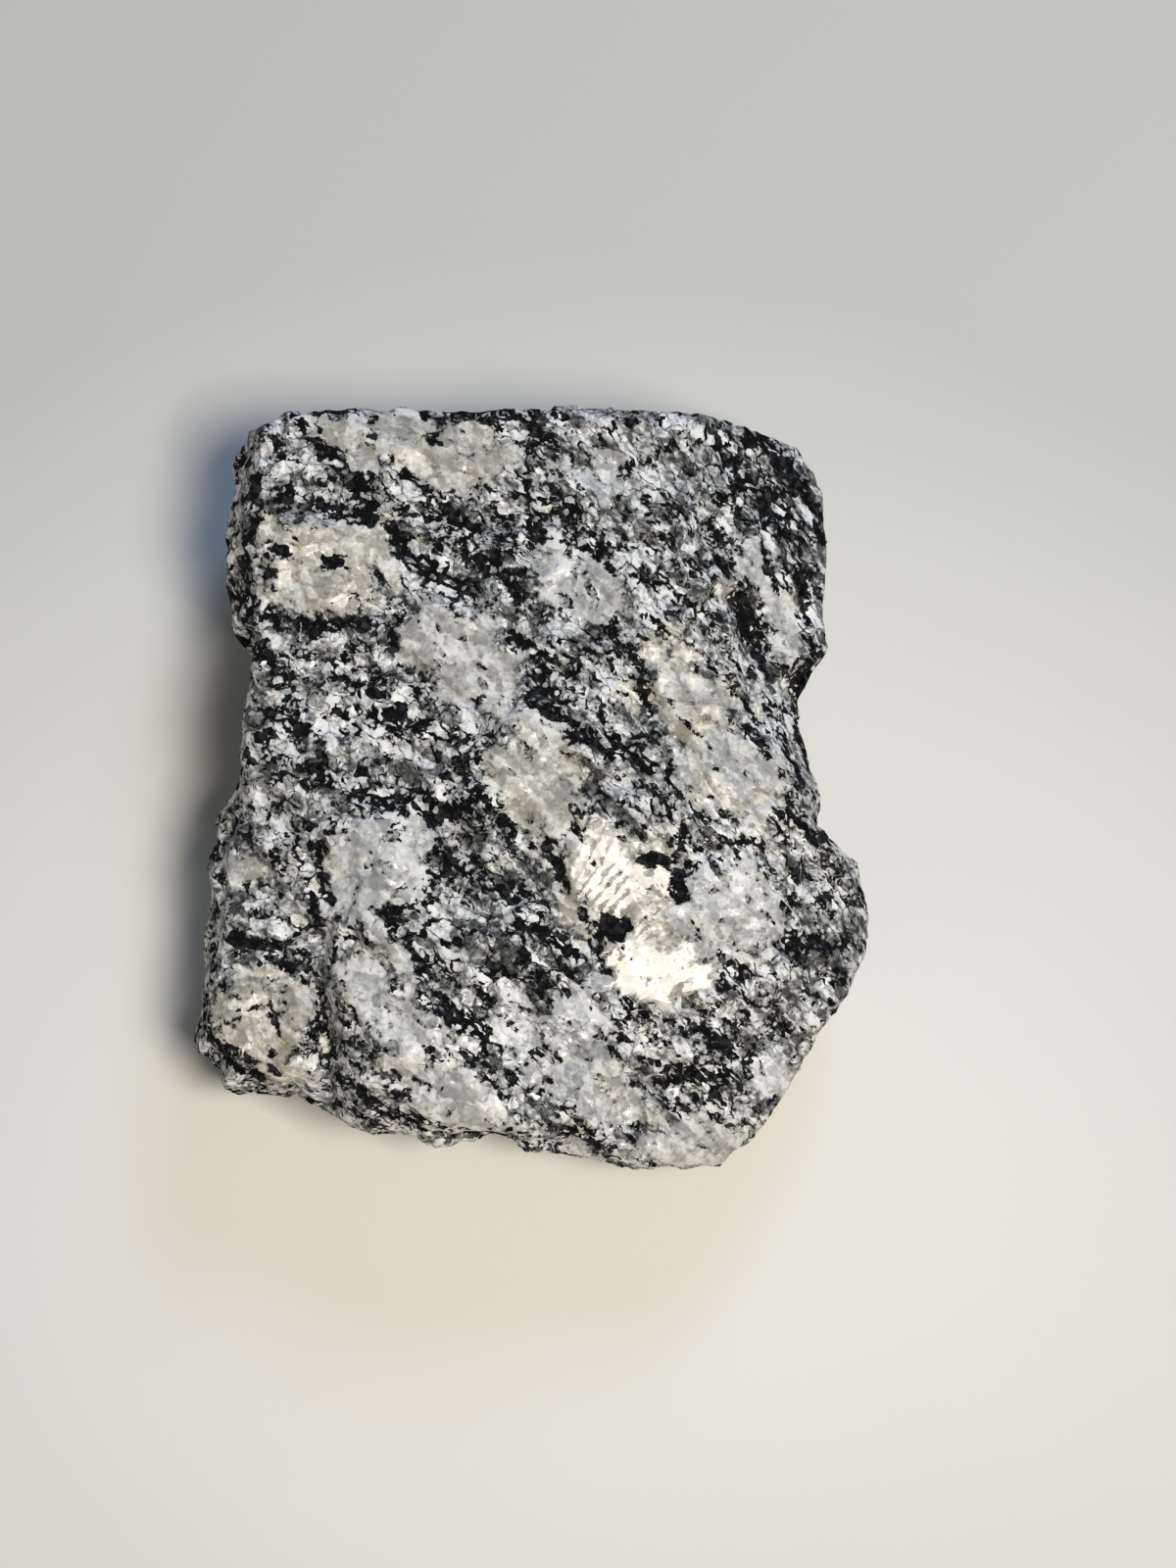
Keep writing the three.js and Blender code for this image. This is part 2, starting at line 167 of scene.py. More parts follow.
# Feldspar crystals: x, y, half length, half width, turn, creaminess, lean of the cleavage along x and y,
# width of its steps, and how much of it shows clean cleavage
FELDSPARS = [
    (-9.6, 20.3, 4.2, 1.7, -10, 0.65, 0.1, 0.2, 1.4, 0.5),
    (-4.3, 19, 3.4, 2.1, -22, 0.9, -0.2, 0.1, 1.2, 0.5),
    (-12.5, 12.6, 3.8, 3, -5, 0.9, 0.05, -0.25, 1.1, 0.5),
    (-4.4, 7.5, 3.5, 2.4, -24, 0.35, -0.3, -0.1, 0.9, 0.5),
    (0.6, 0.3, 3, 2.7, -50, 0.7, -0.1, 0.2, 1.2, 0.5),
    (4, 18.2, 2, 1.3, -20, 0.1, 0.1, 0.3, 1, 0.3),
    (3, 11.1, 2.8, 1.6, -30, 0.15, -0.2, 0.2, 0.9, 0.3),
    (9.1, 5.1, 3.3, 2.2, -35, 0.8, 0, -0.3, 1.1, 0.5),
    (11.3, 0.4, 3.4, 2, -36, 0.35, 0.3, 0.2, 1.2, 0.5),
    (5.8, -7.6, 5.4, 3.2, -68, 0.75, 0.15, -0.177, 0.63, 0.3),  # the bright crystal
    (11.9, -7.7, 3.1, 2.8, -60, 0, 0.1, -0.4, 1, 0.5),
    (-8.4, -5.1, 2.8, 2.8, -60, 0.1, -0.2, 0, 1, 0.4),
    (-9, -13.1, 4.1, 2.1, -60, 0.15, 0.1, 0.1, 1, 0.4),
    (-4.9, -18.1, 4.1, 1.5, -38, 0.2, 0, -0.3, 0.9, 0.4),
    (0.5, -14.5, 2.6, 1.6, -35, 0, 0.3, 0.3, 0.9, 0.4),
    (3.9, -17.8, 3.6, 2, -25, 0, -0.3, 0, 1, 0.4),
    (9.3, -20.6, 2.9, 1.7, 5, 0.15, 0.05, -0.5, 1, 0.5),
    (14.5, -17.1, 1.8, 1.3, 60, 0.1, 0.3, -0.3, 1, 0.5),
    (-16, -14.2, 3.1, 2.6, -15, 0.95, 0.4, 0.05, 0.6, 0.3),
    (13, 12.6, 1.5, 1, -60, 0.2, 0.4, 0.2, 0.9, 0.4),
    (15, 10, 2, 1, -65, 0.2, 0.5, 0, 0.9, 0.4),
    (-17, -5, 1, 1.1, 0, 0.6, 0, 0, 0.9, 0.5),
    (-1.3, 4.2, 1.5, 1, -20, 0.4, 0, 0.2, 0.9, 0.4),
    (3.2, -13.2, 1.4, 1, -30, 0, 0.1, 0.3, 0.9, 0.4),
]
PLACE_COLUMNS = slice(0, 5)
CREAM_COLUMN = 5
LEAN_COLUMNS = slice(6, 8)
STEP_COLUMN = 8
CLEAN_COLUMN = 9
OUTSIDE = -0.6  # potential well outside every crystal; it is 0 on the edge and 1 in the middle
CRYSTAL_DRIFT = 0.25  # how much the drift shifts a crystal's edge
CRYSTAL_EDGE = (0.0, 0.16)  # potentials between which a crystal sets in
STEP_DRIFT = 0.5  # how much the drift shifts the cleavage steps
LEAST_LEAN = 1e-6

# The bright crystal: its row above, the point its steps fan out from, and the angle of one step in radians
BRIGHT_ROW = 9
BRIGHT_PIVOT = (-2.5, -14.5)
BRIGHT_STEP = 0.053
BRIGHT_AWAY = 10  # times the angle, the width of a step
FAN_DRIFT = 0.7  # how much the drift shifts its steps

# Where its clean cleavage shows as stripes: x, y, half length, half width, turn, share that is clean
BRIGHT_STRIPES = [
    (4.5, -6.6, 2.4, 1.9, 55, 1.0), (3.6, -4.8, 2.0, 1.6, 50, 0.75), (6.9, -8.7, 2.0, 1.4, 40, 0.75),
]

# Where it shows as whole blocks: x, y, half length, half width, turn
BRIGHT_BLOCKS = [(7.3, -5.9, 1.55, 1.3, -5), (7.4, -11.1, 3.3, 1.55, 4)]
BLOCK_EDGE = 0.9  # radius at which a block ends
BLOCK_RAGGED = 0.5  # how much the drift and the teeth shift that radius
WHOLE_TREAD = 0.3  # the part of a step that blocks and small facets show
WHOLE_DEPTH = 0.6  # makes both feldspar right to their edges

# Small clean facets that catch the light as the bright crystal does: x, y, half length, half width, turn
BRIGHT_FACETS = [
    (-3.7, -12.7, 0.32, 0.52, 5), (11.1, 11.2, 0.3, 0.6, 15), (-12.1, -15.1, 0.25, 0.45, 20),
    (8.3, -17.9, 0.3, 0.3, 0), (-15.0, 5.2, 0.25, 0.35, 0), (13.4, 4.4, 0.25, 0.6, 25),
]

# Trails of black mica on the upper side: half width, share that is mica, then x and y of each point
MICA_TRAILS = [
    (0.6, 0.95, -13.5, 21.4, -11.6, 19, -9.3, 16.2), (0.5, 0.9, -13, 16.4, -10.5, 15.8, -9, 15.2),
    (0.4, 0.8, -8.5, 18.9, -6.2, 17.2), (0.45, 0.9, -5.9, 16.4, -3.4, 15.1),
    (0.6, 0.9, -8.7, 15, -7.4, 13.7, -5.9, 12.4, -3.4, 11.1), (0.6, 0.95, -3.4, 13, -1, 12.2),
    (0.45, 0.8, -2.2, 13.5, -0.7, 10.7), (0.5, 0.9, -0.1, 21.6, 0.3, 20.2),
    (0.35, 0.6, -0.3, 19.6, -0.4, 16), (0.45, 0.9, -0.1, 15.5, 0.1, 13.9),
    (0.5, 0.9, -1.3, 8.5, 0.9, 6.9), (0.45, 0.8, 0.3, 6.3, 0.9, 5, 1.9, 4.6),
    (0.5, 0.8, 0.6, 14.1, 2.7, 13.3, 4.8, 13.7),
    (0.45, 0.8, -15.8, 9.8, -12.9, 9, -10.4, 9.3, -8.3, 8.6, -7.4, 6.5),
    (0.45, 0.8, -16.3, 8.1, -14.2, 6.1), (0.45, 0.8, -11.6, 6.2, -8.9, 5),
    (0.6, 0.8, -15.5, 4.1, -13.1, 2.9), (0.6, 0.8, -9.2, 4.1, -5.8, 3.1, -4, 2.3),
    (0.45, 0.6, -11.3, 4.1, -9.5, 2.2), (0.6, 0.9, -10.3, -0.9, -8.2, -1.3, -6.1, -0.6),
    (0.65, 0.95, -7, -1.8, -4.5, -1.9, -3.3, -1.1), (0.45, 0.8, -2.1, -2.3, 1.5, -2.7),
    (0.65, 0.95, 0.9, 3.7, 3.9, 1.9, 6.9, 0.7), (0.5, 0.8, 3.3, 2.1, 6.3, 2.3),
    (0.6, 0.9, 8.1, 0.1, 9.9, -2), (0.45, 0.9, 9.9, -2, 14.4, -2.4, 17.4, -3.2),
    (0.35, 1, 1, -3.8, 1.9, -6.3, 2.7, -8, 5.2, -12.2, 5.7, -13.4), (0.3, 1, 8.9, -2.9, 8.6, -4.1),
    (0.3, 1, 9.1, -7.2, 9.6, -8.8, 10.4, -11.4), (0.45, 0.9, 8.1, -4.4, 9, -7.2),
    (0.6, 0.9, 9.9, -8.6, 12.3, -11.4), (0.6, 0.8, 13.6, -9.3, 19.3, -9),
    (0.6, 0.7, 17, -6.6, 19.6, -6.5), (0.75, 0.9, 8.1, -17, 11.7, -17),
    (0.5, 0.9, 7.8, -18.4, 9.6, -19.6), (0.6, 0.8, 9.9, -14.3, 13, -16.6),
    (0.65, 0.9, -5.1, -13.4, -3, -14.5, -0.9, -15.3), (0.4, 0.9, -2.4, -10.7, -1.5, -11.3),
    (0.5, 0.8, -7.5, -9.5, -6, -11.6), (0.5, 0.8, -12.4, -3.9, -11.8, -6.9),
    (0.45, 0.7, -13, -5.7, -12.4, -8.3), (0.45, 0.8, -12.4, -12.8, -11.9, -16.3),
    (0.45, 0.7, -11.3, -17.1, -8.3, -19.2, -5.2, -20.1), (0.5, 0.7, -18.3, -4.9, -16.1, -6.4),
    (0.5, 0.8, -17.4, -9, -14.9, -9.5), (0.6, 0.9, 10.4, 21.2, 12.6, 18.4, 16.4, 15.8),
    (0.65, 0.9, 13.3, 21.8, 15.9, 19.3, 17.7, 15.6), (0.5, 0.8, 12, 19.2, 15, 15.5),
    (0.45, 0.9, 14.4, 7.6, 16.1, 6.3), (0.5, 0.8, 15.7, 4.9, 16.5, 1.5), (0.45, 0.7, 12.4, 3.4, 13.9, 1),
    (0.45, 0.6, 6, 12.7, 8.7, 10.5, 10, 10), (0.45, 0.8, 0.2, 15.6, 2.7, 15.8),
    (0.45, 0.8, 6.3, 6, 6.9, 4.4), (0.6, 0.7, -0.6, -8.6, 2.7, -10.1), (0.5, 0.7, -5.7, -4, -3.3, -5.8),
    (0.5, 0.6, -3.3, -4.6, -0.9, -6.4), (0.5, 0.6, -8.4, -7.8, -5.7, -7.4),
    (0.5, 0.6, 5.7, -13.3, 8.7, -14.4), (0.4, 0.8, 1.5, -16.3, 2.1, -16.9),
    (0.4, 0.8, 2.4, -20.2, 4.8, -21.2), (0.45, 0.7, -17, -15.4, -15.4, -17),
    (0.4, 0.7, -18, -11.8, -15.6, -12.7), (0.4, 1, -13.9, 22.2, -10.6, 22.3),
    (0.45, 1, -8, 22, -5.6, 21.8, -2.6, 21.8, -0.4, 21.9),
    (0.3, 1, -19, -14.6, -18.1, -16, -16.9, -16.7, -15.2, -16.9), (0.35, 0.9, 13.6, 14, 14.5, 11.6),
    (0.35, 0.9, 15.8, 13, 16.5, 10.3), (0.4, 0.9, 16, 9.2, 17, 8.4),
    (0.35, 0.8, 11.2, 13.4, 12.4, 9.6, 14, 6.6), (0.35, 0.8, 14.6, 3.2, 15.6, 0.6),
    (0.5, 0.85, -16.4, 18, -16.3, 15.3, -17, 13.5, -16.6, 11, -16.9, 9.6),
]

# Single flakes of mica, also inside the crystals: x, y, half length, half width, turn
MICA_SPOTS = [
    (-14.7, 13.6, 0.6, 0.45, 0), (-11.5, 12.9, 0.65, 0.4, -10), (-15.6, 12.3, 0.4, 0.2, -20),
    (-5.9, 20.2, 0.35, 0.3, -60), (-9.5, 20.4, 0.3, 0.2, -15), (-9.5, 21.5, 0.3, 0.2, 10),
    (4.7, -8.8, 0.7, 0.6, -30), (7.4, -4.7, 0.85, 0.35, -5), (8.6, -6, 0.4, 1, 5),
    (12.7, 10.2, 1.6, 0.36, -62), (16.2, 6.6, 0.45, 0.9, 15),
    (-17.2, -15.6, 1.5, 0.2, -25), (-14.9, -14.2, 0.14, 0.9, 15), (-16.2, -13.1, 0.7, 0.13, 20),
]

# Shares of mica
MICA_EVERYWHERE = 0.3  # the least on the upper side, outside the crystals
MICA_SPARED = 0.7  # how much of it is missing inside the crystals
FLAKE_SHARE = 2  # in the middle of a single flake, falling to 1 on its edge
SIDE_MICA = 0.36  # the middle of the bands on the sides
SIDE_SWING = 1.2  # how far those bands swing from it
SIDE_LIMITS = (-0.16, 0.24)  # where the swing is cut off
SIDE_BANDS = (1.0, 0.5, 0.0, 307)  # the bands as facets in a stretched space: size, step, tip, seed
SIDE_STRETCH = (0.22, 0.8, 0.3)  # scale of that space along, across and up within the bands

# Patches with much mica: x, y, half length, half width, turn, share of mica
MICA_PATCHES = [
    (14, 17.5, 5, 3.4, -40, 0.46), (-5, 0.8, 4.2, 2.6, -20, 0.26), (15.5, -10.8, 4.2, 2.2, -20, 0.34),
    (9.8, -17, 2.8, 2.3, -40, 0.3), (-3.6, -13, 2.8, 2, -40, 0.3), (-4.4, 12.6, 4, 2.2, -25, 0.26),
    (0.6, -11.4, 2.4, 1.3, -20, 0.42),
]

# Patches of grey glassy quartz: x, y, half length, half width, turn, share of quartz
QUARTZ_PATCHES = [
    (-1.5, -6.2, 5.2, 3.2, -45, 0.8), (8.5, 14.2, 2.6, 2, -40, 0.7), (-2, 11, 2.2, 1.6, -30, 0.6),
    (15, 16, 4.5, 5, 0, 0.5), (16.5, -8, 3.5, 4.5, -20, 0.5), (3.5, -10.5, 3, 2.2, -40, 0.5),
    (-9.5, 0, 3, 2, -30, 0.4), (12.5, -13.5, 3, 2.5, -40, 0.5),
    (-15.2, -14.8, 2.6, 2.2, 0, 0.5), (11.9, -0.9, 2.6, 1.6, -38, 0.5),
    (0.6, 0.3, 3.4, 3, -50, 0.8), (3.5, 20.6, 3.6, 2, 0, 0.8), (11.9, -7.7, 3.1, 2.8, -60, 0.4),
    (0.6, -11.4, 2.6, 1.6, -20, 0.9),
]

# Large odd numbers that scatter the counts of a cell of space into a fixed number
SCATTER = [np.uint32(number) for number in (374761393, 668265263, 1440662683, 1274126177, 2246822519)]
SCATTER_SEED = 974634777
LARGEST_WORD = 0xFFFFFFFF

# Looks of the rock: its noises, as waves per millimetre and layers of finer waves
WANDER = (1.1, 2)
RAGGED = (2.6, 3)
SOFT = (0.9, 3)
VEINS = (0.7, 3)
VEIN_PATCHES = (0.9, 2)
TREAD_PATCHES = (1.1, 2)
DUST = (6.0, 3)
NOISE_ROUGHNESS = 0.6

# Its scattered cells, per millimetre
GRAINS = 1.3
FLAKES = 2.3
FLECKS = 3.6

# Its banding
BAND_BEND = 0.012  # how it bends, per squared millimetre off the middle
BAND_STRAY = 0.8  # how far its lines stray
BAND_PULL = (2.0, 1, 1.6)  # how far grains are drawn out along, across and up within the bands

# Where feldspar sets in, and how far noise and grains shift its edge
FELDSPAR_EDGE = (-0.05, 0.08)
FELDSPAR_RAGGED = 0.5
FELDSPAR_GRAINY = 0.2

# Mica: clumps, with a factor and a start for the share of grains that are black, films between the grains,
# veins, whole flakes and pale specks
BIG_CLUMPS = (0.35, -0.085)
BIG_RAGGED = 0.8
SMALL_CLUMPS = (0.41, -0.01)
SMALL_RAGGED = 0.6
CLUMP_EDGE = (0.0, 0.02)
FILM_RAGGED = 0.8
FILM_SHARES = (0.16, 0.85)  # shares of mica between which the films widen
FILM_WIDTH = 0.14
VEIN_SHARE = 0.6
VEIN_LEVELS = (0.56, 0.78)
VEIN_WIDTH = 0.045
LINE_EDGE = (0.0, 0.015)
WHOLE_RAGGED = 0.3
WHOLE_EDGE = (1.2, 1.25)
SPECK_LIMIT = 0.96  # flecks above this are specks
SPECK_FALL = -0.09  # how that limit changes on the sides
SPECK_LOSS = -0.8
DIM_REACH = -0.15  # how near to a clump a pale grain turns dim
DIM_MOST = 0.5
SEAM_REACH = 0.14  # how near to its edge a grain turns dim
SEAM_MOST = 0.4
SEAM_LOSS = -0.3  # how that changes in feldspar

# Shade of the pale grains, 0 for dark and 1 for white: its middle, and how far soft noise, grains, flakes,
# flecks, ragged noise and dust swing it
SHADE_START = 0.57
SHADE_SWINGS = (1.9, 0.6, 0.8, 0.2, 1.5, 0.55)
PALE_SPARKLE_FLECKS = (0.88, 0.91)  # flecks above these are paler: partly white grains, partly painted sparkle
PALE_SPARKLE_RISE = 0.3
QUARTZ_SHADE = -0.22
CONTRAST = 1.12
SIDE_CONTRAST = 1.7  # how much more there is on the sides
GREY = 0.42
GLASSY_SHADE = (0.2, -0.02)  # the darkest shade, as a factor and a start for each fleck
GLASSY_RAGGED = 0.5
CRYSTAL_SHADE = (0.42, 0.385)  # shade of the crystals, as a factor and a start for the grains' shade

# Colours along the shade, and of what is dim or black
GRAIN_COLOURS = [
    (0.0, (0.022, 0.023, 0.023)), (0.2, (0.15, 0.153, 0.15)), (0.4, (0.31, 0.31, 0.30)),
    (0.6, (0.50, 0.50, 0.49)), (0.8, (0.68, 0.677, 0.66)), (1.0, (0.88, 0.875, 0.855)),
]
WHITE_COLOURS = [(0.3, (0.27, 0.272, 0.268)), (0.6, (0.50, 0.50, 0.485)), (0.9, (0.80, 0.797, 0.775))]
CREAM_COLOURS = [(0.3, (0.27, 0.253, 0.205)), (0.6, (0.48, 0.455, 0.38)), (0.9, (0.78, 0.755, 0.675))]
DIM_COLOUR = (0.04, 0.041, 0.041, 1)
BLACK = (0.003, 0.003, 0.0035, 1)
GREY_BLACK = (0.022, 0.023, 0.025, 1)
BLACK_FLECKS = (0.5, 1.0)  # flecks between these turn from black to grey black

# Gloss
ROCK_IOR = 1.46
ROUGHNESS = (0.35, 0.65)  # least and most of the rough grains
CLEAN_ROUGHNESS = 0.2
TREAD_ROUGHNESS = 0.26
STEP_RAGGED = 0.5
TREAD_LIMIT = 0.68  # the part of each cleavage step that is clean
TREAD_SWING = 1.8  # how far noise swings it
GLINT_LIMIT = 0.78  # flecks above this glint
GLINT_SHARE = 0.9

# Facing
DUST_STRENGTH = 0.4
DUST_DEPTH = 0.1
MICA_LYING = 0.8  # how nearly all mica faces one way
MICA_FACING = (-0.15, 0.18, 1)  # that way: up, and a little away from the warm light
TIP = 0.15  # how far flakes and flecks tip
CLEAN_TIP = 0.17  # how much further clean ones do

# Looks of the floor, in metres of its own coordinates, with painted light and shade that stand in for the
# lamps' falloff
FLOOR_BACK_SHADE = (-40 * MM, 60 * MM)  # painted shade: from front to back it darkens between these
FLOOR_AWAY_SHADE = (22 * MM, 60 * MM)  # and painted shade darkens it between these distances from the stone's middle
AWAY_SHADE_SHARE = 0.4
FLOOR_CLOUDS = (60.0, 2)  # waves per metre, and layers of finer waves
CLOUD_SWING = 0.05
# Floor colours at the two ends of the painted shade: lighter at the front, with painted light, darker at
# the back
FLOOR_PAINTED_SHADE_COLOURS = [(0.0, (0.88, 0.865, 0.80)), (1.0, (0.612, 0.602, 0.56))]
FLOOR_ROUGHNESS = 0.8
FLOOR_SPECULAR = 0.2

STONE_MIDDLE = (0, 0, 8)  # where the lights shine


def smooth(value, low, high):
    """0 below low, 1 above high, and a smooth S between: 3t² - 2t³ of the share t of the way."""
    t = np.clip((value - low) / (high - low), 0, 1)
    return t * t * (3 - 2 * t)


def along_edge(edge, share):
    """Point and lean at shares from -1 to 1 of an edge's length: straight lines between its points."""
    edge = np.array(edge)
    lengths = np.hypot(np.diff(edge[:, 0]), np.diff(edge[:, 1]))
    way = np.concatenate([[0], np.cumsum(lengths)])
    at = (share + 1) / 2 * way[-1]
    return np.stack([np.interp(at, way, column) for column in edge.T], axis=-1)


def on_outline(a, b):
    """Where square grid points (a, b) meet the outline, the way outwards there, and how far out they are.

    The larger of |a| and |b| is the reach and picks the side. The other, divided by it, is the share along
    that side. Outwards is (a, b) over the reach, each to an odd power, made one long.
    """
    reach = np.maximum(np.abs(a), np.abs(b))
    a = a / np.where(reach == 0, 1, reach)
    b = b / np.where(reach == 0, 1, reach)
    left_right = np.where((a > 0)[:, None], along_edge(RIGHT_EDGE, b), along_edge(LEFT_EDGE, b))
    back_front = np.where((b > 0)[:, None], along_edge(BACK_EDGE, a), along_edge(FRONT_EDGE, a))
    edge = np.where((np.abs(a) >= np.abs(b))[:, None], left_right, back_front)
    out = np.stack([a**CORNER_POWER, b**CORNER_POWER], axis=-1)
    out = out / np.maximum(np.linalg.norm(out, axis=1, keepdims=True), 1e-9)
    return edge, out, reach


def line_distance(x, y, x0, y0, x1, y1):
    """Distance in plan from (x, y) to the straight line between two points."""
    dx = x1 - x0
    dy = y1 - y0
    t = np.clip(((x - x0) * dx + (y - y0) * dy) / (dx * dx + dy * dy), 0, 1)
    return np.hypot(x - x0 - t * dx, y - y0 - t * dy)


def crystal_radius(x, y, middle_x, middle_y, length, width, turn):
    """How far out of a crystal (x, y) is, 1 on its edge: the fourth root of u⁴ + v⁴ in its turned axes."""
    cosine = math.cos(math.radians(turn))
    sine = math.sin(math.radians(turn))
    u = ((x - middle_x) * cosine + (y - middle_y) * sine) / length
    v = ((y - middle_y) * cosine - (x - middle_x) * sine) / width
    return (u**4 + v**4) ** 0.25


def upper_height(x, y):
    """Height of the upper side: broken faces weighted by how near each is, less grooves, plus crystals."""
    total = 0
    weights = 0
    for middle_x, middle_y, z, along_x, along_y in BROKEN_FACES:
        dx = x - middle_x
        dy = y - middle_y
        weight = (dx * dx + dy * dy + BLEND_SOFTNESS) ** -BLEND_POWER
        total = total + weight * (z + along_x * dx + along_y * dy)
        weights = weights + weight
    height = total / weights
    for x0, y0, x1, y1, depth, half_width in GROOVES:
        height = height - depth * np.exp(-((line_distance(x, y, x0, y0, x1, y1) / half_width) ** 2))
    for *place, rise in CRYSTALS:
        height = height + rise * (1 - smooth(crystal_radius(x, y, *place), CRYSTAL_TOP, CRYSTAL_FOOT))
    return height


def cell_number(cell, seed):
    """A fixed number from 0 to 1 for each cell: its three counts and a seed, multiplied and mixed."""
    i, j, k = (cell.astype(np.int64) & LARGEST_WORD).astype(np.uint32).T
    mixed_seed = np.uint32(seed * SCATTER_SEED & LARGEST_WORD)
    h = (i * SCATTER[0]) ^ (j * SCATTER[1]) ^ (k * SCATTER[2]) ^ mixed_seed
    h = (h ^ (h >> np.uint32(13))) * SCATTER[3]
    h = (h ^ (h >> np.uint32(16))) * SCATTER[4]
    return (h ^ (h >> np.uint32(15))) / (LARGEST_WORD + 1)


def cells_around(points, size):
    """The 27 cells of space around each point, one set at a time."""
    base = np.floor(points / size)
    for n in range(27):
        yield base + np.array([n % 3, n // 3 % 3, n // 9]) - 1


def cell_centre(cell, size, seed):
    """The scattered centre of each cell: its corner plus three fixed numbers, times the cell size."""
    return (cell + np.stack([cell_number(cell, seed + axis) for axis in range(3)], axis=-1)) * size


def cell_height(cell, away, step, tip, seed):
    """Height of a cell's facet at an offset from its centre: a fixed step plus a lean times the offset."""
    lean = np.stack([cell_number(cell, seed + axis) for axis in (3, 4, 5)], axis=-1) - 0.5
    return 2 * step * (cell_number(cell, seed + 6) - 0.5) + 2 * tip * np.sum(lean * away, axis=1)


def hackle(points, size, step, tip, seed):
    """Height of the hackly break: the facets around each point, weighted by exp(-sharpness d² / size²)."""
    total = 0
    weights = 0
    for cell in cells_around(points, size):
        away = points - cell_centre(cell, size, seed)
        weight = np.exp(-SHARPNESS * np.sum(away * away, axis=1) / (size * size))
        total = total + weight * cell_height(cell, away, step, tip, seed)
        weights = weights + weight
    return total / weights


def two_nearest(points, size, seed):
    """The two nearest scattered cell centres of each point: their cells, and both distances."""
    near = np.full(len(points), np.inf)
    second = np.full(len(points), np.inf)
    near_cell = np.zeros_like(points)
    second_cell = np.zeros_like(points)
    for cell in cells_around(points, size):
        distance = np.linalg.norm(points - cell_centre(cell, size, seed), axis=1)
        nearest = distance < near
        between = ~nearest & (distance < second)
        second_cell = np.where(nearest[:, None], near_cell, np.where(between[:, None], cell, second_cell))
        second = np.where(nearest, near, np.where(between, distance, second))
        near_cell = np.where(nearest[:, None], cell, near_cell)
        near = np.where(nearest, distance, near)
    return near_cell, second_cell, near, second


def stone_grid():
    """The points and squares of a closed box grid: the upper face, rows of the sides, and the lower face.

    Both faces are square grids of (a, b) from -1 to 1. The rows between them repeat their border, with c
    from 1 at the top to -1 at the foot.
    """
    line = np.linspace(-1, 1, GRID + 1)
    b_grid, a_grid = np.meshgrid(line, line, indexing="ij")
    face = np.stack([a_grid.ravel(), b_grid.ravel()], axis=-1)
    index = np.arange(len(face)).reshape(GRID + 1, GRID + 1)
    ring = np.concatenate([index[0, :-1], index[:-1, -1], index[-1, :0:-1], index[:0:-1, 0]])
    levels = np.linspace(1, -1, WALL_ROWS + 1)[1:-1]
    wall_plan = np.tile(face[ring], (len(levels), 1))
    wall = np.concatenate([wall_plan, np.repeat(levels, len(ring))[:, None]], axis=1)
    top = np.concatenate([face, np.ones((len(face), 1))], axis=1)
    bottom = np.concatenate([face, -np.ones((len(face), 1))], axis=1)
    grid = np.concatenate([top, wall, bottom])
    first_wall = len(face)
    first_bottom = first_wall + len(wall)
    rows = [ring]
    rows += [first_wall + row * len(ring) + np.arange(len(ring)) for row in range(len(levels))]
    rows += [first_bottom + ring]
    rows = np.stack(rows)
    corners = [index[:-1, :-1], index[:-1, 1:], index[1:, 1:], index[1:, :-1]]
    squares = np.stack(corners, axis=-1).reshape(-1, 4)
    next_column = np.roll(rows, -1, axis=1)
    sides = np.stack([rows[:-1], rows[1:], next_column[1:], next_column[:-1]], axis=-1).reshape(-1, 4)
    quads = np.concatenate([squares, sides, first_bottom + squares[:, ::-1]])
    return grid, quads


def stone_shape(grid):
    """The box grid wrapped on to the stone.

    Upper face: the outline point times the reach, at the upper height, rolling down at its rim. Sides: out
    from the rim over a round bevel, or straight in to the waist where undercut, then in to the foot by a
    power. Underside: the foot's outline times the reach, flat out to the rest share, then rising smoothly.
    """
    edge, out, reach = on_outline(grid[:, 0], grid[:, 1])
    c = grid[:, 2]
    rim_roll = RIM_ROLL * (1 - smooth(edge[:, 2], 0, ROLL_LEAN))
    rim = upper_height(edge[:, 0], edge[:, 1]) - rim_roll
    waist = WAIST_SHARE * rim
    height = rim + (FOOT_HEIGHT - rim) * ((1 - c) / 2) ** ROW_POWER
    bevel = np.clip((rim - height) / BEVEL_DEPTH, 0, 1) ** BEVEL_POWER
    undercut = np.clip((rim - height) / (rim - waist), 0, 1)
    above = edge[:, 2] * np.where(edge[:, 2] > 0, bevel, undercut)
    below = edge[:, 2] - TUCK * np.maximum((waist - height) / (waist - FOOT_HEIGHT), 0) ** TUCK_POWER
    side = edge[:, :2] + np.where(height > waist, above, below)[:, None] * out
    face = edge[:, :2] * reach[:, None]
    plan = np.where((c == 1)[:, None], face, np.where((c > -1)[:, None], side, side * reach[:, None]))
    rest = FOOT_HEIGHT * smooth(reach, REST_SHARE, 1)
    roll = rim_roll * np.clip((reach - ROLL_START) / (1 - ROLL_START), 0, 1) ** 2
    z = np.where(c == 1, upper_height(face[:, 0], face[:, 1]) - roll, np.where(c > -1, height, rest))
    return np.concatenate([plan, z[:, None]], axis=1)


def rim_closeness(grid):
    """1 along the rim, 0 further in and down: a smooth rise over the reach times one over the level."""
    reach = np.max(np.abs(grid[:, :2]), axis=1)
    return smooth(reach, *WEAR_REACH) * smooth(grid[:, 2], *WEAR_LEVEL)


def grid_normals(points, quads):
    """Normals at the points: crossed diagonals of the squares around each, added and made one long."""
    first = points[quads[:, 2]] - points[quads[:, 0]]
    second = points[quads[:, 3]] - points[quads[:, 1]]
    cross = np.cross(first, second)
    normals = np.zeros_like(points)
    for corner in range(4):
        np.add.at(normals, quads[:, corner], cross)
    return normals / np.linalg.norm(normals, axis=1, keepdims=True)


